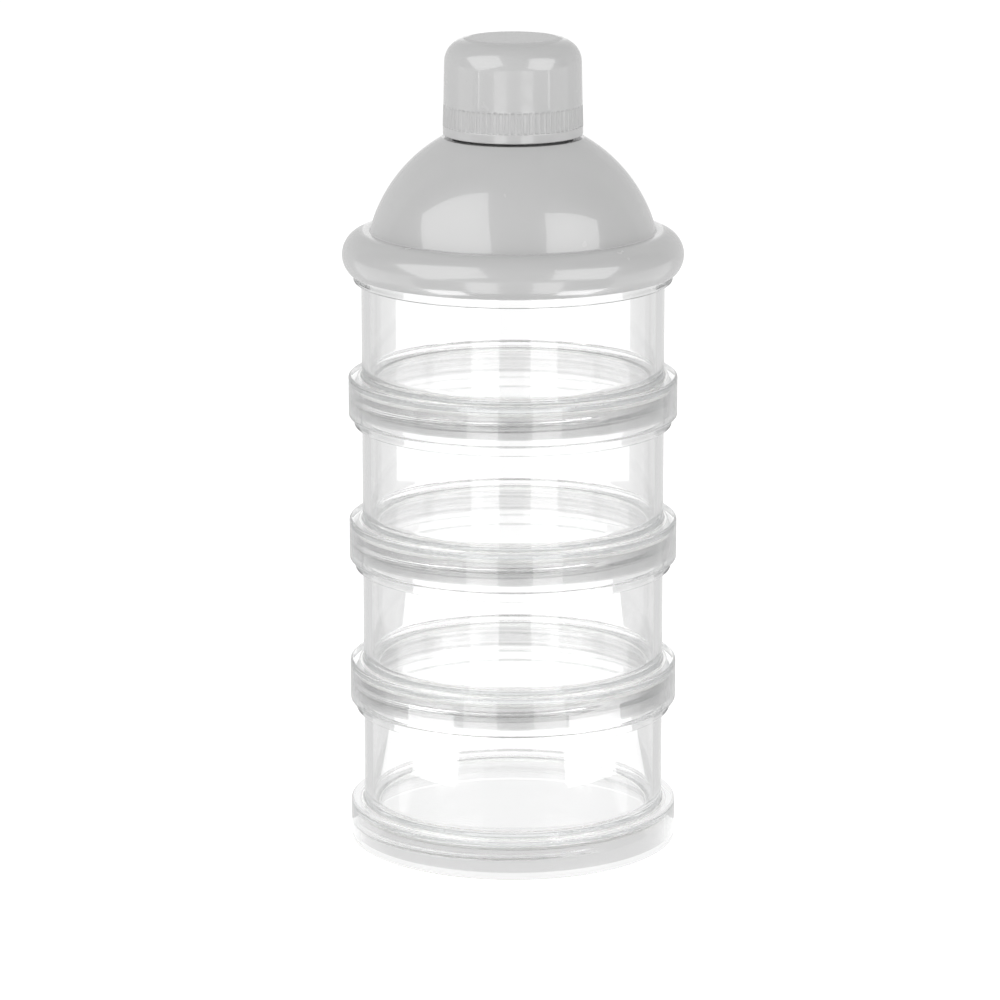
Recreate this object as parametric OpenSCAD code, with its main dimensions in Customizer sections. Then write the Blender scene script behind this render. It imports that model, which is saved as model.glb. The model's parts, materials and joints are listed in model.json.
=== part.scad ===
// Stackable formula dispenser. Four clear containers screw onto one another, a domed
// funnel lid with a pouring spout screws onto the top one, and a cap closes the spout.
// Every screwed joint closes on a soft sealing ring. Millimetres, +Z up. The axis of the
// stack is the Z axis and the foot, which is the lowest container's skirt, stands on z = 0.

/* [Stack] */
// Height from one container's lower edge to the next one's
stack_step = 31.5; // [26:0.5:60]
// Gap left between a skirt and the flange under it when the joint is screwed down
seat_gap = 0.1; // [0.05:0.05:0.3]
// Radial clearance between a thread's crest and the wall that faces it
thread_clear = 0.3; // [0.2:0.05:0.5]

/* [Container] */
// Outer diameter of the threaded skirt
skirt_d = 71; // [58:0.5:110]
// Wall of the skirt
skirt_wall = 1.9; // [1.3:0.1:2.6]
// Wall of the neck
neck_wall = 1.5; // [1:0.1:2]
// How far the body stands out from the neck
body_out = 0.3; // [0.2:0.05:0.6]
// Thickness of the floor
floor_t = 1.5; // [1:0.1:2.4]
// Round on the outer edge of the shoulder
shoulder_round = 1.3; // [0.4:0.1:1.4]
// Round inside, where the wall meets the floor
floor_round = 2; // [0.5:0.1:4]
// Height of the threaded neck above its flange
neck_h = 6.3; // [6.1:0.1:9]
// Thickness of the flange that the next skirt sits on
flange_t = 2; // [1.2:0.1:3]
// How far the flange's edge is set in from the skirt
flange_in = 1.2; // [0.5:0.1:1.5]
// Height that the thread climbs in one turn
thread_lead = 2.6; // [2.4:0.1:3]
// Height of the thread's ridge above its wall
thread_h = 1; // [0.5:0.1:1.2]
// Turns of ridge on the neck
neck_turns = 1.5; // [0.6:0.1:1.6]
// Turns of ridge in the skirt
skirt_turns = 0.85; // [0.4:0.05:0.9]

/* [Sealing rings] */
// Thickness of the large sealing rings
seal_t = 1; // [0.6:0.1:1.5]
// Width of the large sealing rings
seal_w = 3.6; // [2.6:0.1:4.5]
// Thickness of the cap's sealing ring
cap_seal_t = 1.2; // [0.8:0.1:2]
// Width of the cap's sealing ring
cap_seal_w = 3.2; // [2.4:0.1:3.8]

/* [Lid] */
// How far the rolled collar stands out from the container's skirt
collar_out = 1.2; // [0:0.1:3]
// Radius of the rolled collar
collar_round = 5.2; // [5:0.1:7]
// Thickness of the collar's roof over the sealing ring
collar_roof = 1.5; // [1.2:0.1:3]
// Height of the dome's flat shoulder above the collar's lower edge
dome_h = 28.8; // [22:0.2:50]
// Wall of the dome
dome_wall = 1.8; // [1.2:0.1:2.6]
// Height of the spout above the dome's shoulder
spout_h = 12.6; // [12:0.2:18]
// Wall of the spout
spout_wall = 1.6; // [1:0.1:2.4]
// Height above the dome's shoulder at which the spout's thread starts
spout_thread_z = 4.2; // [3.4:0.1:5]
// Turns of ridge on the spout
spout_turns = 1.3; // [0.6:0.1:1.5]

/* [Cap] */
// Diameter of the cap near its top
cap_d = 29.2; // [26:0.2:40]
// How much wider the cap is at its lower edge
cap_flare = 0.8; // [0:0.1:1.6]
// Height of the cap
cap_h = 20.7; // [20:0.1:34]
// Wall of the cap
cap_wall = 1.7; // [1.3:0.1:2.2]
// Thickness of the cap's top
cap_top_t = 1.8; // [1.2:0.1:3]
// Round on the cap's upper edge
cap_round = 5.2; // [2:0.1:6]
// Gap left between the cap and the dome when it is screwed down
cap_gap = 0.5; // [0.2:0.1:1]
// Height that the cap's thread climbs in one turn
cap_lead = 3; // [2.8:0.1:3.6]
// Height of the cap thread's ridge above its wall
cap_thread_h = 0.9; // [0.5:0.1:1]
// Turns of ridge in the cap
cap_turns = 0.85; // [0.4:0.05:0.9]
// Number of grip ribs around the cap
rib_count = 72; // [36:2:90]
// Height of the grip ribs
rib_h = 4.6; // [2:0.2:10]
// Depth of the grooves that leave the ribs standing
rib_depth = 0.3; // [0.1:0.05:0.5]
// Height of the plain rim under the ribs
rim_h = 2; // [1:0.1:4]

/* [Hidden] */

$fn = 96;
join = 0.2;          // overlap that fuses two features of one piece
steps = 48;          // facets in one turn of a thread
edge_round = 0.35;   // round that takes the sharpness off a moulded edge

// Radii of the container, from the skirt inwards
skirt_r = skirt_d / 2;
skirt_bore = skirt_r - skirt_wall;
neck_r = skirt_bore - thread_clear - thread_h;
neck_bore = neck_r - neck_wall;
body_r = neck_r + body_out;
flange_r = skirt_r - flange_in;

// Heights in a container, from its lower edge
floor_z = neck_h - seat_gap + seal_t;
shoulder_z = floor_z + floor_t;
flange_z = stack_step - seat_gap;
rim_z = flange_z + neck_h;

// The ridge in the skirt runs half a lead below the ridge on the neck
ridge_w = 0.46 * thread_lead;
neck_ridge_z = flange_z + neck_h - 0.2 - ridge_w / 2 - neck_turns * thread_lead;
skirt_ridge_z = neck_ridge_z - stack_step + thread_lead / 2;

// The lid, from the collar's lower edge, which stands a whole number of steps up
lid_z = 4 * stack_step;
collar_r = skirt_r + collar_out;
roll_r = collar_r - collar_round;
valley_z = floor_z + collar_roof;
collar_mid = valley_z - collar_round;
valley_r = roll_r - 0.8;
cap_r = cap_d / 2;
cap_foot_r = cap_r + cap_flare / 2;
dome_top_r = cap_foot_r + 0.2;
// Centre and radius of the dome's arc through its valley and its shoulder
dome_in = (dome_top_r ^ 2 + dome_h ^ 2 - valley_r ^ 2 - valley_z ^ 2) / (2 * (valley_r - dome_top_r));
dome_r = norm([valley_r + dome_in, valley_z]);

// The spout and the cap, from the dome's shoulder
spout_z = lid_z + dome_h;
cap_bore = cap_r - cap_wall;
spout_r = cap_bore - thread_clear - cap_thread_h;
spout_bore = spout_r - spout_wall;
cap_z = spout_z + cap_gap;
cap_ridge_w = 0.46 * cap_lead;
seat_depth = spout_h - cap_gap + cap_seal_t;

// Rectangle between two opposite corners
module block(x0, y0, x1, y1) {
    translate([x0, y0]) square([x1 - x0, y1 - y0]);
}

// What lies between a square corner at x, y and a round of radius r inside it. sx and sy
// point from the corner towards the round's centre. It rounds a corner or fills one.
module corner(x, y, r, sx, sy) {
    difference() {
        translate([x - sx * join, y - sy * join])
            mirror([sx < 0 ? 1 : 0, 0]) mirror([0, sy < 0 ? 1 : 0])
                square([r + join, r + join]);
        translate([x + sx * r, y + sy * r]) circle(r);
    }
}

// Helical ridge. It starts at height z and climbs turns * lead round a wall of radius r,
// outwards (out = 1) or inwards (out = -1), and fades in and out over its ends.
module ridge(r, z, lead, turns, h, w, out) {
    n = round(turns * steps);
    fade = 5;
    points = [
        for (i = [0 : n])
            let (
                angle = 360 * i / steps,
                rise = z + lead * i / steps,
                grow = min(1, (i + 0.5) / fade, (n - i + 0.5) / fade),
                root = r - out * join,
                crest = r + out * h * grow
            )
            for (p = [[root, -w / 2], [crest, -w / 4], [crest, w / 4], [root, w / 2]])
                [p[0] * cos(angle), p[0] * sin(angle), rise + p[1]]
    ];
    sides = [
        for (i = [0 : n - 1], k = [0 : 3])
            let (a = 4 * i + k, b = 4 * i + (k + 1) % 4)
            for (t = [[a, b, b + 4], [a, b + 4, a + 4]]) t
    ];
    ends = [[3, 2, 1], [3, 1, 0], [4 * n, 4 * n + 1, 4 * n + 2], [4 * n, 4 * n + 2, 4 * n + 3]];
    faces = concat(sides, ends);
    polyhedron(points, out > 0 ? faces : [for (f = faces) [f[2], f[1], f[0]]]);
}

// Female thread of a container's skirt and of the lid's collar
module skirt_ridge() {
    ridge(skirt_bore, skirt_ridge_z, thread_lead, skirt_turns, thread_h, ridge_w, -1);
}

// Half section of a container
module container_section() {
    difference() {
        union() {
            block(skirt_bore, 0, skirt_r, shoulder_z);
            block(0, floor_z, skirt_r, shoulder_z);
            block(neck_bore, floor_z, body_r, flange_z);
            block(neck_bore, flange_z - flange_t, flange_r, flange_z);
            block(neck_bore, flange_z - flange_t, neck_r, rim_z);
            corner(neck_bore, shoulder_z, floor_round, -1, 1);
        }
        corner(skirt_r, shoulder_z, shoulder_round, -1, -1);
        corner(skirt_bore, 0, edge_round, 1, 1);
        corner(flange_r, flange_z - flange_t, edge_round, -1, 1);
        corner(neck_r, rim_z, edge_round, -1, -1);
        corner(neck_bore, rim_z, edge_round, 1, -1);
    }
}

// One container, the index-th from the bottom
module container(index) {
    color([0.9, 0.93, 0.95, 0.45])
        translate([0, 0, (index - 1) * stack_step]) {
            rotate_extrude() container_section();
            ridge(neck_r, neck_ridge_z, thread_lead, neck_turns, thread_h, ridge_w, 1);
            skirt_ridge();
        }
}

// Large sealing ring, pressed against the floor or the roof that stands floor_z above z
module seal(z) {
    outer = skirt_bore - 0.05;
    color([0.95, 0.95, 0.95, 0.8])
        translate([0, 0, z + floor_z - seal_t])
            difference() {
                cylinder(h = seal_t, r = outer);
                translate([0, 0, -1]) cylinder(h = seal_t + 2, r = outer - seal_w);
            }
}

// Half section of the funnel lid, from the collar's lower edge
module lid_section() {
    difference() {
        union() {
            intersection() {
                translate([roll_r, collar_mid]) circle(collar_round);
                block(roll_r, 0, collar_r + 1, valley_z);
            }
            intersection() {
                translate([-dome_in, 0]) circle(dome_r);
                block(0, floor_z, roll_r + join, dome_h);
            }
            block(valley_r - join, floor_z, roll_r + join, valley_z);
            block(0, dome_h - dome_wall, spout_r, dome_h + spout_h);
        }
        block(-1, -1, skirt_bore, floor_z);
        intersection() {
            translate([-dome_in, 0]) circle(dome_r - dome_wall);
            block(-1, -1, skirt_bore, dome_h - dome_wall);
        }
        block(-1, -1, spout_bore, dome_h + spout_h + 1);
        corner(skirt_bore, 0, edge_round, 1, 1);
        corner(spout_r, dome_h + spout_h, edge_round, -1, -1);
        corner(spout_bore, dome_h + spout_h, edge_round, 1, -1);
    }
}

module dome_lid() {
    color([0.77, 0.77, 0.77]) {
        translate([0, 0, lid_z]) {
            rotate_extrude() lid_section();
            skirt_ridge();
        }
        translate([0, 0, spout_z])
            ridge(spout_r, spout_thread_z, cap_lead, spout_turns, cap_thread_h, cap_ridge_w, 1);
    }
}

// Half section of the cap, from its lower edge. An inner sleeve as wide as the spout
// presses the sealing ring onto the spout's rim.
module cap_section() {
    roof_z = cap_h - cap_top_t;
    difference() {
        polygon([
            [0, 0], [cap_foot_r, 0], [cap_foot_r, rim_h], [cap_r, cap_h - cap_round],
            [cap_r, cap_h], [0, cap_h]
        ]);
        corner(cap_r, cap_h, cap_round, -1, -1);
        corner(cap_foot_r, 0, edge_round, -1, 1);
        difference() {
            block(-1, -1, cap_bore, roof_z);
            corner(cap_bore, roof_z, cap_round - cap_wall, -1, -1);
            block(spout_bore, seat_depth, spout_r, roof_z + join);
        }
        corner(cap_bore, 0, edge_round, 1, 1);
    }
}

// Fine upright grooves, which leave the grip ribs standing between them
module grip_grooves() {
    groove_w = 0.62 * 2 * PI * cap_r / rib_count;
    for (i = [0 : rib_count - 1])
        rotate(i * 360 / rib_count)
            translate([cap_foot_r - cap_flare / 4 - rib_depth, -groove_w / 2, rim_h])
                cube([cap_flare + rib_depth, groove_w, rib_h]);
}

module cap() {
    color([0.77, 0.77, 0.77])
        translate([0, 0, cap_z]) {
            difference() {
                rotate_extrude() cap_section();
                grip_grooves();
            }
            // Half a lead below the spout's ridge
            translate([0, 0, spout_thread_z - cap_gap - cap_lead / 2])
                ridge(cap_bore, 0, cap_lead, cap_turns, cap_thread_h, cap_ridge_w, -1);
        }
}

module cap_seal() {
    outer = cap_bore - 0.05;
    color([0.95, 0.95, 0.95, 0.8])
        translate([0, 0, cap_z + seat_depth - cap_seal_t])
            difference() {
                cylinder(h = cap_seal_t, r = outer);
                translate([0, 0, -1]) cylinder(h = cap_seal_t + 2, r = outer - cap_seal_w);
            }
}

container(1);  // container_1
container(2);  // container_2
container(3);  // container_3
container(4);  // container_4
seal(0);  // seal_1
seal(stack_step);  // seal_2
seal(2 * stack_step);  // seal_3
seal(3 * stack_step);  // seal_4
dome_lid();
seal(lid_z);  // lid_seal
cap();
cap_seal();
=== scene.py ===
"""Stackable formula dispenser: four clear screw-together containers, a grey funnel lid and a cap."""

import json
import math

import bpy
from mathutils import Euler, Matrix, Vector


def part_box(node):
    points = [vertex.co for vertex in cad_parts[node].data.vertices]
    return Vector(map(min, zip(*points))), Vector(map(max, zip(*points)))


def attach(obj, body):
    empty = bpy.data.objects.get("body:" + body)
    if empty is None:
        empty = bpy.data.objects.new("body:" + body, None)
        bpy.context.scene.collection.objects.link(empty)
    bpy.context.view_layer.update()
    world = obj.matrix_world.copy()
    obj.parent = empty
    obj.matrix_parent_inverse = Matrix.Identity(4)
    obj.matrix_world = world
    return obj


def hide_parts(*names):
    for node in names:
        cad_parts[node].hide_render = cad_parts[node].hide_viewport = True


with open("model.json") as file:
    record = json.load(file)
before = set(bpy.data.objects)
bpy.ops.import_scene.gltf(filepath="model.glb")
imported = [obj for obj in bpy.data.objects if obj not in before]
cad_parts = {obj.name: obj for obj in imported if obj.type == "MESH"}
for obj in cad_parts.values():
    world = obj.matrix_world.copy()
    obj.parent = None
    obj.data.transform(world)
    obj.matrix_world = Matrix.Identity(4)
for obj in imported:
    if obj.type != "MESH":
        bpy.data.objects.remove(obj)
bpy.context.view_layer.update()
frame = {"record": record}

bl_info = {
    "name": "Formula dispenser",
    "version": (1, 0, 0),
    "blender": (4, 5, 0),
    "location": "View3D > Sidebar > Dispenser",
    "description": "Models the containers, sealing rings, lid and cap of a formula dispenser",
    "category": "Object",
}

MM = 0.001
RIDGE_SHARE = 0.56  # Share of a thread's lead that its ridge takes up
FADE_TURNS = 0.1  # Part of a turn over which a ridge swells or fades
NECK_TURNS = 1.5
SPOUT_TURNS = 1.3
SOCKET_TURNS = 0.85  # Turns of the thread inside a skirt or the cap
CONTAINERS = ["container_1", "container_2", "container_3", "container_4"]
LARGE_SEALS = ["seal_1", "seal_2", "seal_3", "seal_4", "lid_seal"]
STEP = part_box("container_2")[0][2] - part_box("container_1")[0][2]
LID_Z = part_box("dome_lid")[0][2]
CAP_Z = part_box("cap")[0][2]


def linear(hex_colour):
    """Linear RGBA of an sRGB hex colour."""
    parts = [int(hex_colour[i:i + 2], 16) / 255 for i in (0, 2, 4)]
    return [c / 12.92 if c <= 0.04045 else ((c + 0.055) / 1.055) ** 2.4 for c in parts] + [1.0]


def size(name, description, millimetres):
    """A length that the user may change."""
    return bpy.props.FloatProperty(
        name=name, description=description, default=millimetres * MM, unit="LENGTH", precision=5)


def count(name, description, default):
    return bpy.props.IntProperty(name=name, description=description, default=default, min=1)


def colour(name, description, hex_colour):
    return bpy.props.FloatVectorProperty(
        name=name, description=description, default=linear(hex_colour), size=4, subtype="COLOR")


class ContainerSizes(bpy.types.PropertyGroup):
    skirt_r: size("Skirt radius", "Outer radius of the threaded skirt", 35.5)
    skirt_bore: size("Skirt bore", "Inner radius of the threaded skirt", 33.6)
    floor_z: size("Floor height", "Height of the floor's underside above the lower edge", 7.2)
    floor_t: size("Floor thickness", "Thickness of the floor", 1.5)
    shoulder_round: size("Shoulder round", "Round on the shoulder's outer edge", 0.6)
    body_r: size("Body radius", "Outer radius of the body between the rings", 32.6)
    flange_r: size("Flange radius", "Outer radius of the flange that the next skirt sits on", 34.3)
    flange_t: size("Flange thickness", "Thickness of the flange", 2.0)
    seat_gap: size("Seat gap", "Gap between the flange and the next skirt", 0.1)
    neck_r: size("Neck radius", "Outer radius of the neck", 32.3)
    neck_bore: size("Neck bore", "Inner radius of the neck and the body", 30.8)
    neck_h: size("Neck height", "Height of the neck above the flange", 6.3)
    thread_lead: size("Thread lead", "Height that the thread climbs in one turn", 2.6)
    thread_h: size("Thread height", "Height of the thread's ridge", 1.0)


class LidSizes(bpy.types.PropertyGroup):
    collar_r: size("Collar radius", "Outer radius of the rolled collar", 36.7)
    collar_round: size("Collar round", "Radius of the rolled collar's section", 5.2)
    collar_top: size("Collar height", "Height of the collar's top above its lower edge", 8.7)
    valley: size("Valley", "Width of the flat between the collar's roll and the dome", 0.8)
    dome_h: size("Dome height", "Height of the dome's shoulder above the collar's lower edge", 28.8)
    dome_top_r: size("Dome top radius", "Radius of the dome's flat shoulder", 15.2)
    dome_wall: size("Dome wall", "Thickness of the dome's wall", 1.8)
    spout_r: size("Spout radius", "Outer radius of the spout", 11.7)
    spout_bore: size("Spout bore", "Inner radius of the spout", 10.1)
    spout_h: size("Spout height", "Height of the spout above the dome's shoulder", 12.6)
    thread_z: size("Spout thread start", "Height of the thread's start above the dome's shoulder", 4.2)


class CapSizes(bpy.types.PropertyGroup):
    top_r: size("Top radius", "Radius of the cap near its top", 14.6)
    foot_r: size("Foot radius", "Radius of the cap at its lower edge", 15.0)
    height: size("Height", "Height of the cap", 20.7)
    top_t: size("Top thickness", "Thickness of the cap's top", 1.8)
    top_round: size("Top round", "Round on the cap's upper edge", 5.2)
    bore: size("Bore", "Inner radius of the cap's wall", 12.9)
    sleeve_z: size("Sleeve height", "Height of the inner sleeve's lower edge", 13.3)
    thread_lead: size("Thread lead", "Height that the cap's thread climbs in one turn", 3.0)
    thread_h: size("Thread height", "Height of the cap thread's ridge", 0.9)
    rim_h: size("Rim height", "Height of the plain rim under the grip ribs", 2.0)
    rib_h: size("Rib height", "Height of the grip ribs", 4.6)
    rib_depth: size("Rib depth", "Depth of the grooves between the grip ribs", 0.3)
    rib_count: count("Ribs", "Number of grip ribs round the cap", 72)


class Finishes(bpy.types.PropertyGroup):
    lid_colour: colour("Lid", "Colour of the lid and the cap", "b4b4b4")
    clear_tint: colour("Clear plastic", "Colour that thick clear plastic takes on", "f0f1f1")
    # The thread colour is painted shade: a grey base colour that darkens the light through the matt thread
    # bands
    thread_painted_shade: colour("Threads", "Colour that light takes on through the matt threads", "c2c2c2")
    ring_colour: colour("Sealing rings", "Colour of the silicone rings", "f4f4f3")
    floor_colour: colour("Floor", "Colour of the studio floor", "cbcbcb")


# Outlines


def arc(x, z, radius, start, end, spacing=1.0 * MM):
    """Points on an arc round x, z between two angles in degrees, about spacing apart."""
    n = max(6, math.ceil(math.radians(abs(end - start)) * radius / spacing))
    turns = [math.radians(start + (end - start) * i / n) for i in range(n + 1)]
    return [(x + radius * math.cos(t), z + radius * math.sin(t), 0) for t in turns]


def rows(x, start, end, pitch=0.14 * MM):
    """Points up or down a straight wall, close enough together to carry a thread."""
    n = math.ceil(abs(end - start) / pitch)
    return [(x, start + (end - start) * i / n, 0) for i in range(n + 1)]


def rounded(corners, hold=0.15 * MM):
    """Outline through corners of x, z and round. Each round is an arc with a point just outside
    either end, which holds the flats beside it flat under smooth shading."""
    outline = []
    for i, (x, z, r) in enumerate(corners):
        if r == 0:
            outline.append((x, z))
            continue
        sides = []
        for other in (corners[i - 1], corners[(i + 1) % len(corners)]):
            dx, dz = other[0] - x, other[1] - z
            sides.append((dx / math.hypot(dx, dz), dz / math.hypot(dx, dz)))
        (ax, az), (bx, bz) = sides
        half = math.acos(max(-1.0, min(1.0, ax * bx + az * bz))) / 2
        cut = r / math.tan(half)
        middle = math.hypot(ax + bx, az + bz)
        cx, cz = x + (ax + bx) / middle * r / math.sin(half), z + (az + bz) / middle * r / math.sin(half)
        start = math.atan2(z + az * cut - cz, x + ax * cut - cx)
        end = math.atan2(z + bz * cut - cz, x + bx * cut - cx)
        sweep = (end - start + math.pi) % math.tau - math.pi
        n = max(3, math.ceil(abs(sweep) / math.radians(14)))
        outline.append((x + ax * (cut + hold), z + az * (cut + hold)))
        for k in range(n + 1):
            t = start + sweep * k / n
            outline.append((cx + r * math.cos(t), cz + r * math.sin(t)))
        outline.append((x + bx * (cut + hold), z + bz * (cut + hold)))
    return outline


# Modelling


def turned(name, outline, z, steps=192):
    """Turn an outline of radius and height round the Z axis, as on a lathe, z above the floor.
    An outline that starts and ends on the axis is left open, and any other is closed."""
    bpy.ops.object.select_all(action="DESELECT")
    x, height = outline[0]
    bpy.ops.mesh.primitive_plane_add(size=MM, location=(x, 0, z + height))
    piece = bpy.context.object
    piece.name = piece.data.name = name
    bpy.ops.object.mode_set(mode="EDIT")
    bpy.ops.mesh.merge(type="CENTER")
    path = outline if outline[0][0] == 0 else outline + outline[:1]
    for (x0, z0), (x1, z1) in zip(path, path[1:]):
        bpy.ops.mesh.extrude_vertices_move(TRANSFORM_OT_translate={"value": (x1 - x0, 0, z1 - z0)})
    bpy.ops.mesh.select_all(action="SELECT")
    # A twelfth of the turn is spun, and copied round for the rest
    twelfth = math.tau / 12
    bpy.ops.mesh.spin(steps=steps // 12, angle=twelfth, center=(0, 0, 0), axis=(0, 0, 1))
    bpy.ops.mesh.select_all(action="SELECT")
    bpy.ops.mesh.spin(steps=11, angle=11 * twelfth, dupli=True, center=(0, 0, 0), axis=(0, 0, 1))
    bpy.ops.mesh.select_all(action="SELECT")
    bpy.ops.mesh.remove_doubles(threshold=0.002 * MM)
    bpy.ops.mesh.normals_make_consistent(inside=False)
    bpy.ops.object.mode_set(mode="OBJECT")
    bpy.ops.object.transform_apply(location=True, rotation=True, scale=True)
    bpy.ops.object.shade_smooth()
    return piece


def raise_thread(piece, wall_r, z, lead, turns, height, side):
    """Raise a right-handed ridge on the wall of radius wall_r, outwards (1) or inwards (-1). It
    starts at height z over +X, and swells and fades over its ends."""
    width = RIDGE_SHARE * lead
    for vertex in piece.data.vertices:
        x, y, vz = vertex.co
        r = math.hypot(x, y)
        if abs(r - wall_r) > 0.01 * MM or not z - width < vz < z + lead * turns + width:
            continue
        turn = math.atan2(y, x) / math.tau % 1
        turn += max(0, min(math.floor(turns - turn), round((vz - z) / lead - turn)))
        if turn > turns:
            continue
        across = min(1, abs(vz - z - lead * turn) / (width / 2))
        swell = min(1, turn / FADE_TURNS, (turns - turn) / FADE_TURNS)
        raised = r + side * height * math.sin(swell * math.pi / 2) * math.cos(across * math.pi / 2) ** 1.4
        vertex.co = (x * raised / r, y * raised / r, vz)


def neck_thread_z(c):
    """Height at which the neck's thread starts, so that it ends just under the rim."""
    return STEP - c.seat_gap + c.neck_h - 0.2 * MM - 1.73 * c.thread_lead


def skirt_thread_z(c):
    """Height at which the skirt's thread starts, half a lead above the thread of the neck it screws on."""
    return neck_thread_z(c) - STEP + c.thread_lead / 2


def cut_grip(piece, cap, z):
    """Sink the grooves between the cap's grip ribs. Each rib is a third of its pitch wide."""
    low, high = z + cap.rim_h, z + cap.rim_h + cap.rib_h
    for vertex in piece.data.vertices:
        x, y, vz = vertex.co
        r = math.hypot(x, y)
        if r < cap.bore + 1 * MM or not low <= vz <= high:
            continue
        pitch = abs((math.atan2(y, x) / math.tau * cap.rib_count) % 1 - 0.5) * 2
        groove = min(1, max(0, (pitch - 0.12) / 0.36))
        ends = min(1, (vz - low) / (0.25 * MM), (high - vz) / (0.4 * MM))
        sunk = r - cap.rib_depth * groove * math.sin(ends * math.pi / 2)
        vertex.co = (x * sunk / r, y * sunk / r, vz)


def mark_threads(piece, *bands):
    """Mark how matt the points in each band are, which also sets how much painted shade they take:
    least radius, most radius, low z, high z, share.
    """
    matt = piece.data.attributes.new("matt", "FLOAT", "POINT")
    for vertex, mark in zip(piece.data.vertices, matt.data):
        r = math.hypot(vertex.co.x, vertex.co.y)
        mark.value = max([share for r0, r1, z0, z1, share in bands
                          if r0 < r < r1 and z0 < vertex.co.z < z1], default=0)


def hand_over(piece, node, material):
    """Let a piece stand for its CAD node, move with the node's body and take its finish."""
    body = next(b for b, nodes in frame["record"]["behaviour"]["bodies"].items() if node in nodes)
    piece.data.materials.append(material)
    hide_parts(node)
    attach(piece, body)


def copy_up(piece, name, rise):
    """Copy a piece with its own mesh, and lift the copy."""
    bpy.ops.object.select_all(action="DESELECT")
    piece.select_set(True)
    bpy.context.view_layer.objects.active = piece
    bpy.ops.object.duplicate(linked=False)
    copy = bpy.context.object
    copy.name = copy.data.name = name
    bpy.ops.transform.translate(value=(0, 0, rise))
    bpy.ops.object.transform_apply(location=True, rotation=True, scale=True)
    return copy


# Materials


def add_node(tree, kind, inputs=None, **settings):
    """Add a node with its settings, and set or link its inputs."""
    node = tree.nodes.new(kind)
    for field, value in settings.items():
        setattr(node, field, value)
    for socket, value in (inputs or {}).items():
        if isinstance(value, bpy.types.NodeSocket):
            tree.links.new(value, node.inputs[socket])
        else:
            node.inputs[socket].default_value = value
    return node


def new_material(name):
    """A material by name, emptied, and its output node."""
    material = bpy.data.materials.get(name) or bpy.data.materials.new(name)
    material.use_nodes = True
    material.node_tree.nodes.clear()
    return material, add_node(material.node_tree, "ShaderNodeOutputMaterial")


def clear_copolyester(tint, thread_painted_shade):
    """Clear copolyester, injection moulded: polished walls that bend the white round them into
    bright and grey lines, thick rings that look darker, and matt threads that read as grey bands,
    darkened by a painted shade: a grey base colour in the thread bands."""
    material, output = new_material("Clear copolyester, moulded")
    tree = material.node_tree
    place = add_node(tree, "ShaderNodeTexCoord").outputs["Object"]
    # The matt mark sets both the roughness of the threads and where their painted shade goes
    matt = add_node(tree, "ShaderNodeAttribute", attribute_name="matt").outputs["Fac"]
    # Faint waviness of the moulded walls, about 14 mm from crest to crest
    waves = add_node(tree, "ShaderNodeTexNoise", {"Vector": place, "Scale": 1 / (14 * MM), "Detail": 1.0})
    bump = add_node(tree, "ShaderNodeBump", {
        "Height": waves.outputs["Fac"], "Strength": 0.1, "Distance": 0.04 * MM})
    # The polish varies in patches some 5 mm across, and the threads are left rough from the tool
    patches = add_node(tree, "ShaderNodeTexNoise", {"Vector": place, "Scale": 1 / (5 * MM), "Detail": 3.0})
    polish = add_node(tree, "ShaderNodeMapRange", {
        "Value": patches.outputs["Fac"], "To Min": 0.0, "To Max": 0.04})
    rough = add_node(tree, "ShaderNodeMath", {0: matt, 1: 0.2, 2: polish.outputs["Result"]},
                     operation="MULTIPLY_ADD")
    # Painted shade: the thread bands take a grey base colour, which darkens the light through them
    shade = add_node(tree, "ShaderNodeMix", {"Factor": matt, "A": (1, 1, 1, 1), "B": thread_painted_shade},
                     data_type="RGBA")
    shader = add_node(tree, "ShaderNodeBsdfPrincipled", {
        "Base Color": shade.outputs["Result"], "Transmission Weight": 1.0, "IOR": 1.5,
        "Roughness": rough.outputs["Value"], "Normal": bump.outputs["Normal"]})
    depth = add_node(tree, "ShaderNodeVolumeAbsorption", {"Color": tint, "Density": 30.0})
    tree.links.new(shader.outputs["BSDF"], output.inputs["Surface"])
    tree.links.new(depth.outputs["Volume"], output.inputs["Volume"])
    return material


def grey_polypropylene(tint):
    """Pigmented polypropylene, injection moulded in a polished tool: an even light grey with
    soft-edged, slightly wavy reflections."""
    material, output = new_material("Grey polypropylene, moulded")
    tree = material.node_tree
    place = add_node(tree, "ShaderNodeTexCoord").outputs["Object"]
    # Flow of the pigment, about 9 mm from streak to streak
    flow = add_node(tree, "ShaderNodeTexNoise", {"Vector": place, "Scale": 1 / (9 * MM), "Detail": 2.0})
    shade = add_node(tree, "ShaderNodeMix", {
        "Factor": flow.outputs["Fac"], "A": [c * 0.97 for c in tint[:3]] + [1], "B": list(tint)},
        data_type="RGBA")
    # Shrinkage leaves the surface very slightly uneven, about 4 mm from crest to crest
    uneven = add_node(tree, "ShaderNodeTexNoise", {"Vector": place, "Scale": 1 / (4 * MM), "Detail": 2.0})
    bump = add_node(tree, "ShaderNodeBump", {
        "Height": uneven.outputs["Fac"], "Strength": 0.3, "Distance": 0.02 * MM})
    polish = add_node(tree, "ShaderNodeMapRange", {
        "Value": uneven.outputs["Fac"], "To Min": 0.2, "To Max": 0.3})
    shader = add_node(tree, "ShaderNodeBsdfPrincipled", {
        "Base Color": shade.outputs["Result"], "IOR": 1.49, "Roughness": polish.outputs["Result"],
        "Coat Weight": 1.0, "Coat Roughness": 0.03, "Normal": bump.outputs["Normal"],
        "Coat Normal": bump.outputs["Normal"]})
    tree.links.new(shader.outputs["BSDF"], output.inputs["Surface"])
    return material


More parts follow.
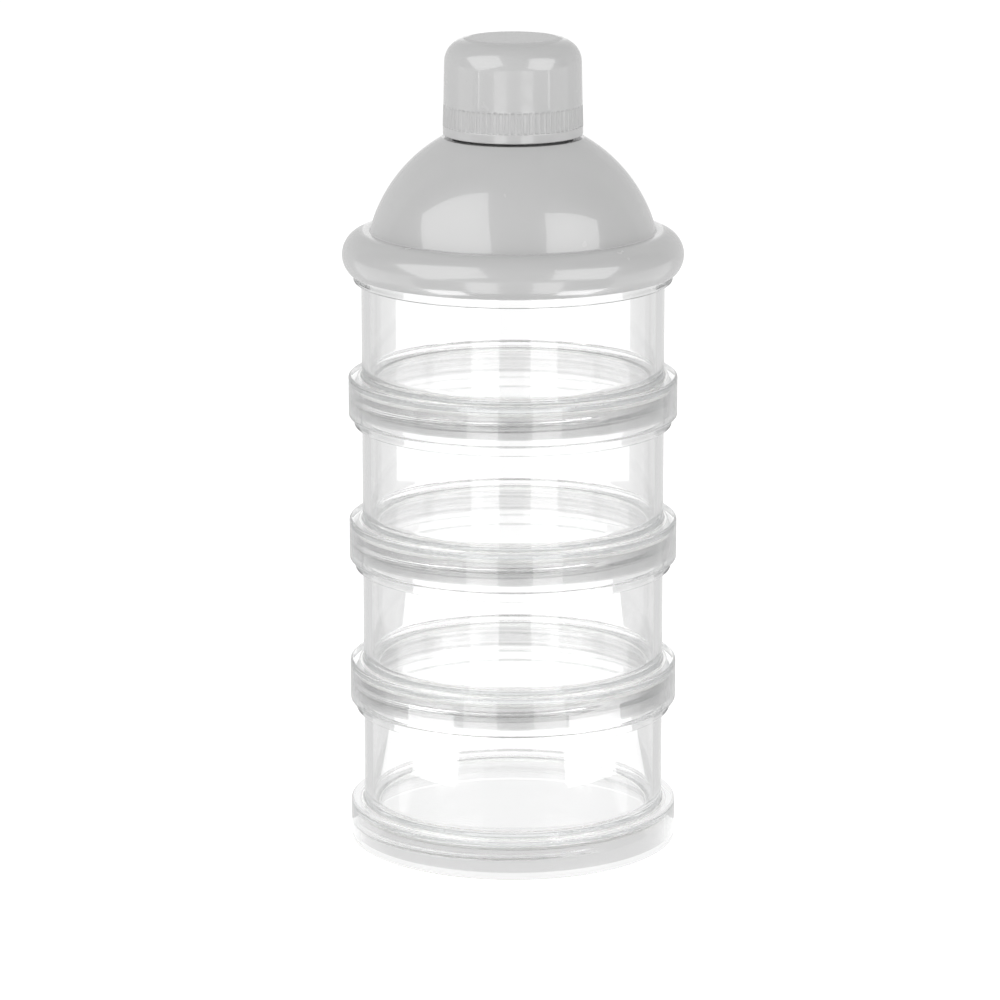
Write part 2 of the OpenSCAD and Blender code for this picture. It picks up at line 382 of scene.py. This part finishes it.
def silicone_rubber(tint):
    """Translucent silicone rubber, compression moulded: milky, and matt with a soft sheen."""
    material, output = new_material("Silicone rubber, moulded")
    tree = material.node_tree
    place = add_node(tree, "ShaderNodeTexCoord").outputs["Object"]
    # Fine bloom of the moulded surface, drawn at 0.8 mm so that it shows
    bloom = add_node(tree, "ShaderNodeTexNoise", {"Vector": place, "Scale": 1 / (0.8 * MM), "Detail": 2.0})
    bump = add_node(tree, "ShaderNodeBump", {
        "Height": bloom.outputs["Fac"], "Strength": 0.3, "Distance": 0.02 * MM})
    sheen = add_node(tree, "ShaderNodeMapRange", {
        "Value": bloom.outputs["Fac"], "To Min": 0.3, "To Max": 0.45})
    shader = add_node(tree, "ShaderNodeBsdfPrincipled", {
        "Base Color": tint, "IOR": 1.41, "Transmission Weight": 0.2,
        "Roughness": sheen.outputs["Result"], "Normal": bump.outputs["Normal"]})
    tree.links.new(shader.outputs["BSDF"], output.inputs["Surface"])
    return material


def white_acrylic(tint):
    """White acrylic sheet of the studio's light table: evenly white, lit from below, softly glossy."""
    material, output = new_material("White acrylic sheet")
    tree = material.node_tree
    place = add_node(tree, "ShaderNodeTexCoord").outputs["Object"]
    scuffs = add_node(tree, "ShaderNodeTexNoise", {"Vector": place, "Scale": 1 / (40 * MM), "Detail": 4.0})
    polish = add_node(tree, "ShaderNodeMapRange", {
        "Value": scuffs.outputs["Fac"], "To Min": 0.1, "To Max": 0.2})
    shader = add_node(tree, "ShaderNodeBsdfPrincipled", {
        "Base Color": tint, "IOR": 1.49, "Roughness": polish.outputs["Result"],
        "Emission Color": (1, 1, 1, 1), "Emission Strength": 0.58})
    tree.links.new(shader.outputs["BSDF"], output.inputs["Surface"])
    return material


def card_paper(name, strength):
    """Card that sends out an even light, and so shows at one brightness in every reflection."""
    material, output = new_material(name)
    light = add_node(material.node_tree, "ShaderNodeEmission", {"Strength": strength})
    material.node_tree.links.new(light.outputs["Emission"], output.inputs["Surface"])
    return material


def flag_paper(near, far):
    """Card that lightens from near the stack to half a metre behind it, for a soft-edged grey."""
    material, output = new_material("Flag")
    tree = material.node_tree
    place = add_node(tree, "ShaderNodeSeparateXYZ", {
        "Vector": add_node(tree, "ShaderNodeTexCoord").outputs["Object"]})
    fall = add_node(tree, "ShaderNodeMapRange", {
        "Value": place.outputs["Y"], "From Min": 0.1, "From Max": 0.5, "To Min": near, "To Max": far})
    light = add_node(tree, "ShaderNodeEmission", {"Strength": fall.outputs["Result"]})
    tree.links.new(light.outputs["Emission"], output.inputs["Surface"])
    return material


# Operators


class DISPENSER_OT_containers(bpy.types.Operator):
    """Model one clear container with both its threads, and copy it up the stack"""
    bl_idname = "dispenser.containers"
    bl_label = "Containers"

    def execute(self, context):
        c = context.scene.dispenser_container
        shoulder_z = c.floor_z + c.floor_t
        flange_z = STEP - c.seat_gap
        rim_z = flange_z + c.neck_h
        corners = [
            (0, c.floor_z, 0),
            (c.skirt_bore, c.floor_z, 0.25 * MM),
            *rows(c.skirt_bore, c.floor_z - 0.6 * MM, 0.6 * MM),
            (c.skirt_bore, 0, 0.35 * MM),
            (c.skirt_r, 0, 0.3 * MM),
            (c.skirt_r, shoulder_z, c.shoulder_round),
            (c.body_r, shoulder_z, 0.35 * MM),
            (c.body_r, flange_z - c.flange_t, 0.3 * MM),
            (c.flange_r, flange_z - c.flange_t, 0.35 * MM),
            (c.flange_r, flange_z, 0.2 * MM),
            (c.neck_r, flange_z, 0.15 * MM),
            *rows(c.neck_r, flange_z + 0.35 * MM, rim_z - 0.6 * MM),
            (c.neck_r, rim_z, 0.35 * MM),
            (c.neck_bore, rim_z, 0.35 * MM),
            (c.neck_bore, shoulder_z, 2.0 * MM),
            (0, shoulder_z, 0),
        ]
        piece = turned("container_1_clear", rounded(corners), 0)
        raise_thread(piece, c.neck_r, neck_thread_z(c), c.thread_lead, NECK_TURNS, c.thread_h, 1)
        raise_thread(piece, c.skirt_bore, skirt_thread_z(c), c.thread_lead, SOCKET_TURNS, c.thread_h, -1)
        gap = 0.05 * MM
        # Both thread bands are marked matt, and so take the painted shade of the threads as well
        mark_threads(
            piece, (c.neck_r - gap, c.skirt_bore - gap, flange_z + 1.4 * MM, rim_z - gap, 0.8),
            (c.neck_r, c.skirt_bore + gap, 1.4 * MM, c.floor_z - 0.1 * MM, 1.0))
        finish = context.scene.dispenser_finish
        plastic = clear_copolyester(finish.clear_tint, finish.thread_painted_shade)
        pieces = [piece]
        for i, node in enumerate(CONTAINERS[1:], start=1):
            pieces.append(copy_up(piece, node + "_clear", i * STEP))
        for piece, node in zip(pieces, CONTAINERS):
            piece.visible_shadow = False
            hand_over(piece, node, plastic)
        return {"FINISHED"}


class DISPENSER_OT_seals(bpy.types.Operator):
    """Model the silicone sealing rings of the containers, the lid and the cap"""
    bl_idname = "dispenser.seals"
    bl_label = "Sealing rings"

    def execute(self, context):
        def ring(node, width):
            low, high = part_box(node)
            # It stands just clear of the plastic on both faces, so that light passes cleanly
            clear, edge = 0.03 * MM, 0.3 * MM
            outer, inner, top = high[0], high[0] - width, high[2] - low[2] - clear
            corners = [(inner, clear, edge), (outer, clear, edge), (outer, top, edge), (inner, top, edge)]
            return turned(node + "_silicone", rounded(corners), low[2])

        first = ring(LARGE_SEALS[0], 3.6 * MM)
        rings = {LARGE_SEALS[0]: first, "cap_seal": ring("cap_seal", 3.2 * MM)}
        for node in LARGE_SEALS[1:]:
            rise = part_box(node)[0][2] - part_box(LARGE_SEALS[0])[0][2]
            rings[node] = copy_up(first, node + "_silicone", rise)
        silicone = silicone_rubber(context.scene.dispenser_finish.ring_colour)
        for node, piece in rings.items():
            piece.visible_shadow = False
            hand_over(piece, node, silicone)
        return {"FINISHED"}


class DISPENSER_OT_lid(bpy.types.Operator):
    """Model the domed funnel lid with its rolled collar, its skirt thread and its spout"""
    bl_idname = "dispenser.lid"
    bl_label = "Funnel lid"

    def execute(self, context):
        c = context.scene.dispenser_container
        lid = context.scene.dispenser_lid
        cap = context.scene.dispenser_cap
        roll_r = lid.collar_r - lid.collar_round
        roll_z = lid.collar_top - lid.collar_round
        valley_r = roll_r - lid.valley
        # Centre and radius of the dome's arc through the valley and the shoulder
        shift = (lid.dome_top_r ** 2 + lid.dome_h ** 2 - valley_r ** 2 - lid.collar_top ** 2) / (
            2 * (valley_r - lid.dome_top_r))
        dome_r = math.hypot(valley_r + shift, lid.collar_top)
        inner_r = dome_r - lid.dome_wall
        ceiling_z = lid.dome_h - lid.dome_wall
        rim_z = lid.dome_h + lid.spout_h

        def dome_angle(radius, height):
            return math.degrees(math.asin(height / radius))

        foot = math.degrees(math.asin(-roll_z / lid.collar_round))
        seat_r = math.sqrt(inner_r ** 2 - c.floor_z ** 2) - shift
        ceiling_r = math.sqrt(inner_r ** 2 - ceiling_z ** 2) - shift
        outside = arc(-shift, 0, dome_r, dome_angle(dome_r, lid.dome_h), dome_angle(dome_r, lid.collar_top))
        inside = arc(-shift, 0, inner_r, dome_angle(inner_r, c.floor_z), dome_angle(inner_r, ceiling_z))
        roll = arc(roll_r, roll_z, lid.collar_round, 90, foot, 0.5 * MM)
        corners = [
            (lid.spout_bore, rim_z, 0.35 * MM),
            (lid.spout_r, rim_z, 0.35 * MM),
            *rows(lid.spout_r, rim_z - 0.6 * MM, lid.dome_h + 0.8 * MM),
            (lid.spout_r, lid.dome_h, 0.4 * MM),
            (lid.dome_top_r, lid.dome_h, 0.4 * MM),
            *outside[1:-1],
            (valley_r, lid.collar_top, 0.3 * MM),
            *roll[:-1],
            (roll[-1][0], 0, 0.12 * MM),
            (c.skirt_bore, 0, 0.35 * MM),
            *rows(c.skirt_bore, 0.6 * MM, c.floor_z - 0.6 * MM),
            (c.skirt_bore, c.floor_z, 0.25 * MM),
            (seat_r, c.floor_z, 0.2 * MM),
            *inside[1:-1],
            (ceiling_r, ceiling_z, 0.3 * MM),
            (lid.spout_bore, ceiling_z, 0.4 * MM),
        ]
        piece = turned("dome_lid_grey", rounded(corners), LID_Z, steps=240)
        raise_thread(piece, c.skirt_bore, LID_Z + skirt_thread_z(c), c.thread_lead, SOCKET_TURNS,
                     c.thread_h, -1)
        raise_thread(piece, lid.spout_r, LID_Z + lid.dome_h + lid.thread_z, cap.thread_lead, SPOUT_TURNS,
                     cap.thread_h, 1)
        hand_over(piece, "dome_lid",
                  grey_polypropylene(context.scene.dispenser_finish.lid_colour))
        return {"FINISHED"}


class DISPENSER_OT_cap(bpy.types.Operator):
    """Model the screw cap with its grip ribs, its thread and the sleeve that presses its ring"""
    bl_idname = "dispenser.cap"
    bl_label = "Cap"

    def execute(self, context):
        lid = context.scene.dispenser_lid
        cap = context.scene.dispenser_cap
        roof_z = cap.height - cap.top_t
        rib_top = cap.rim_h + cap.rib_h

        def wall(z):
            slope = (z - cap.rim_h) / (cap.height - cap.top_round - cap.rim_h)
            return cap.foot_r + (cap.top_r - cap.foot_r) * slope

        corners = [
            (0, cap.height, 0),
            (cap.top_r, cap.height, cap.top_round),
            (wall(rib_top + 0.4 * MM), rib_top + 0.4 * MM, 0),
            *[(wall(z), z, 0) for _, z, _ in rows(0, rib_top, rib_top - 0.5 * MM)],
            *[(wall(z), z, 0) for _, z, _ in rows(0, cap.rim_h + 0.35 * MM, cap.rim_h, 0.07 * MM)],
            (cap.foot_r, cap.rim_h - 0.2 * MM, 0),
            (cap.foot_r, 0, 0.35 * MM),
            (cap.bore, 0, 0.35 * MM),
            *rows(cap.bore, 0.6 * MM, 6.4 * MM, 0.16 * MM),
            (cap.bore, roof_z - 0.9 * MM, 0.5 * MM),
            (lid.spout_r, roof_z - 0.9 * MM, 0.5 * MM),
            (lid.spout_r, cap.sleeve_z, 0.2 * MM),
            (lid.spout_bore, cap.sleeve_z, 0.2 * MM),
            (lid.spout_bore, roof_z, 0.3 * MM),
            (0, roof_z, 0),
        ]
        piece = turned("cap_grey", rounded(corners), CAP_Z, steps=8 * cap.rib_count)
        gap = CAP_Z - LID_Z - lid.dome_h
        raise_thread(piece, cap.bore, CAP_Z + lid.thread_z - gap - cap.thread_lead / 2, cap.thread_lead,
                     SOCKET_TURNS, cap.thread_h, -1)
        cut_grip(piece, cap, CAP_Z)
        hand_over(piece, "cap",
                  grey_polypropylene(context.scene.dispenser_finish.lid_colour))
        return {"FINISHED"}


def hide_card(card, name, paper):
    """Finish a studio card that only reflections and refractions show."""
    bpy.ops.object.mode_set(mode="OBJECT")
    card.name = name
    card.data.materials.append(paper)
    card.visible_camera = card.visible_diffuse = card.visible_shadow = False


class DISPENSER_OT_stage(bpy.types.Operator):
    """Set the floor, the studio light and the camera"""
    bl_idname = "dispenser.stage"
    bl_label = "Stage"

    def execute(self, context):
        scene = context.scene
        bpy.ops.object.select_all(action="DESELECT")
        bpy.ops.mesh.primitive_plane_add(size=60, location=(0, 0, 0))
        floor = bpy.context.object
        floor.name = "studio_floor"
        floor.data.materials.append(white_acrylic(scene.dispenser_finish.floor_colour))

        # Square softboxes: name, azimuth from the camera, elevation, roll, side, strength
        reach, aim_height = 1.2, 0.13
        for name, azimuth, elevation, roll, side, watts in (
                ("left_softbox", -52.8, 29.3, 35, 1.2, 9.0),
                ("right_softbox", 51.4, 21.6, -22, 0.95, 6.2)):
            turn, tilt = math.radians(azimuth), math.radians(elevation)
            flat = reach * math.cos(tilt)
            place = (flat * math.sin(turn), -flat * math.cos(turn), aim_height + reach * math.sin(tilt))
            bpy.ops.object.light_add(type="AREA", location=place)
            light = bpy.context.object
            light.name = name
            light.data.shape = "SQUARE"
            light.data.size = side
            light.data.energy = watts
            aim = Euler((math.pi / 2 - tilt, 0, turn)).to_matrix()
            light.rotation_euler = (aim @ Matrix.Rotation(math.radians(roll), 3, "Z")).to_euler()

        # Cards on the floor in front of the stack: a grey one, two bright wedges on it that draw the
        # stripes down the rings, and two that light the collar from below
        grey, lit, bright = (card_paper(*card) for card in (
            ("Grey card", 0.55), ("Lit card", 2.4), ("Bright card", 5.0)))
        for name, start, end, near, far, height, paper in (
                ("grey_card", -70, 70, 0.045, 1.6, 1, grey),
                ("left_stripe_card", -31, -10, 0.12, 1.6, 2, lit),
                ("right_stripe_card", 13, 33, 0.12, 1.6, 2, lit),
                ("left_collar_card", -70, -37, 0.085, 0.15, 3, bright),
                ("right_collar_card", 35, 72, 0.085, 0.15, 3, bright)):
            bpy.ops.object.select_all(action="DESELECT")
            bpy.ops.mesh.primitive_plane_add(size=MM, location=(0, -near, height * MM))
            card = bpy.context.object
            bpy.ops.object.mode_set(mode="EDIT")
            bpy.ops.mesh.merge(type="CENTER")
            bpy.ops.mesh.extrude_vertices_move(TRANSFORM_OT_translate={"value": (0, near - far, 0)})
            bpy.ops.mesh.select_all(action="SELECT")
            bpy.ops.transform.rotate(value=math.radians(-start), orient_axis="Z", center_override=(0, 0, 0))
            bpy.ops.mesh.spin(steps=24, angle=math.radians(end - start), center=(0, 0, 0), axis=(0, 0, -1))
            hide_card(card, name, paper)

        # Grey flags stand and lie on both sides, and draw the grey edges of the clear walls:
        # name, side, distance from the middle, reach outwards, height
        for name, side, near, out, rise in (
                ("left_flag", -1, 0.05, 0, 0.3),
                ("right_flag", 1, 0.05, 0, 0.3),
                ("left_low_flag", -1, 0.036, -0.15, 0),
                ("right_low_flag", 1, 0.036, 0.15, 0)):
            bpy.ops.object.select_all(action="DESELECT")
            bpy.ops.mesh.primitive_plane_add(size=MM, location=(side * near, 0, 0.003))
            card = bpy.context.object
            bpy.ops.object.mode_set(mode="EDIT")
            bpy.ops.mesh.merge(type="CENTER")
            bpy.ops.mesh.extrude_vertices_move(TRANSFORM_OT_translate={"value": (out, 0, rise)})
            bpy.ops.mesh.select_all(action="SELECT")
            bpy.ops.mesh.extrude_edges_move(TRANSFORM_OT_translate={"value": (side * 0.02, 0.9, 0)})
            hide_card(card, name, flag_paper(0.7, 1.0))

        # A white card behind the stack, which the clear floors and shoulders mirror
        bpy.ops.object.select_all(action="DESELECT")
        bpy.ops.mesh.primitive_plane_add(size=1, location=(0, 0.3, 0.11), rotation=(math.pi / 2, 0, 0))
        card = bpy.context.object
        card.dimensions = (0.16, 0.2, 0)
        bpy.ops.object.transform_apply(location=True, rotation=True, scale=True)
        hide_card(card, "back_card", card_paper("White card", 1.1))

        # A pale disc under the stack, which tones the clear base down a little
        bpy.ops.object.select_all(action="DESELECT")
        bpy.ops.mesh.primitive_circle_add(
            vertices=64, radius=36 * MM, fill_type="NGON", location=(0, 0, 0.5 * MM))
        bpy.ops.object.transform_apply(location=True, rotation=True, scale=True)
        hide_card(bpy.context.object, "base_card", card_paper("Pale card", 0.92))

        world = bpy.data.worlds.new("studio")
        scene.world = world
        world.use_nodes = True
        tree = world.node_tree
        tree.nodes.clear()
        way = add_node(tree, "ShaderNodeSeparateXYZ", {
            "Vector": add_node(tree, "ShaderNodeTexCoord").outputs["Generated"]})
        fall = add_node(tree, "ShaderNodeMapRange", {
            "Value": way.outputs["Y"], "From Min": -0.3, "From Max": 0.7, "To Min": 0.5, "To Max": 0.6})
        sky = add_node(tree, "ShaderNodeBackground", {
            "Color": (1, 1, 1, 1), "Strength": fall.outputs["Result"]})
        add_node(tree, "ShaderNodeOutputWorld", {"Surface": sky.outputs["Background"]})

        scene.view_settings.view_transform = "Standard"
        # Light is turned back many times inside the clear walls before it leaves them
        scene.cycles.max_bounces = 48
        scene.cycles.transmission_bounces = 48
        scene.cycles.glossy_bounces = 48

        camera_back, camera_height, look_down = 1.0, 0.3105, 13.245
        bpy.ops.object.camera_add(location=(0, -camera_back, camera_height))
        camera = bpy.context.object
        camera.rotation_euler = (math.radians(90 - look_down), 0, 0)
        camera.data.lens = 170.4
        camera.data.shift_x = -0.013
        scene.camera = camera
        return {"FINISHED"}


class DISPENSER_PT_panel(bpy.types.Panel):
    bl_idname = "DISPENSER_PT_panel"
    bl_label = "Formula dispenser"
    bl_space_type = "VIEW_3D"
    bl_region_type = "UI"
    bl_category = "Dispenser"

    def draw(self, context):
        for operator in OPERATORS:
            self.layout.operator(operator.bl_idname)
        for group in PROPERTIES:
            box = self.layout.box()
            for name in PROPERTIES[group].__annotations__:
                box.prop(getattr(context.scene, group), name)


OPERATORS = (DISPENSER_OT_containers, DISPENSER_OT_seals, DISPENSER_OT_lid, DISPENSER_OT_cap,
             DISPENSER_OT_stage)
PROPERTIES = {"dispenser_container": ContainerSizes, "dispenser_lid": LidSizes, "dispenser_cap": CapSizes,
              "dispenser_finish": Finishes}


def register():
    for cls in (*PROPERTIES.values(), *OPERATORS, DISPENSER_PT_panel):
        bpy.utils.register_class(cls)
    for name, cls in PROPERTIES.items():
        setattr(bpy.types.Scene, name, bpy.props.PointerProperty(type=cls))


def unregister():
    for name in PROPERTIES:
        delattr(bpy.types.Scene, name)
    for cls in reversed((*PROPERTIES.values(), *OPERATORS, DISPENSER_PT_panel)):
        bpy.utils.unregister_class(cls)


def main():
    register()
    for operator in OPERATORS:
        group, name = operator.bl_idname.split(".")
        getattr(getattr(bpy.ops, group), name)()


if __name__ == "__main__":
    main()
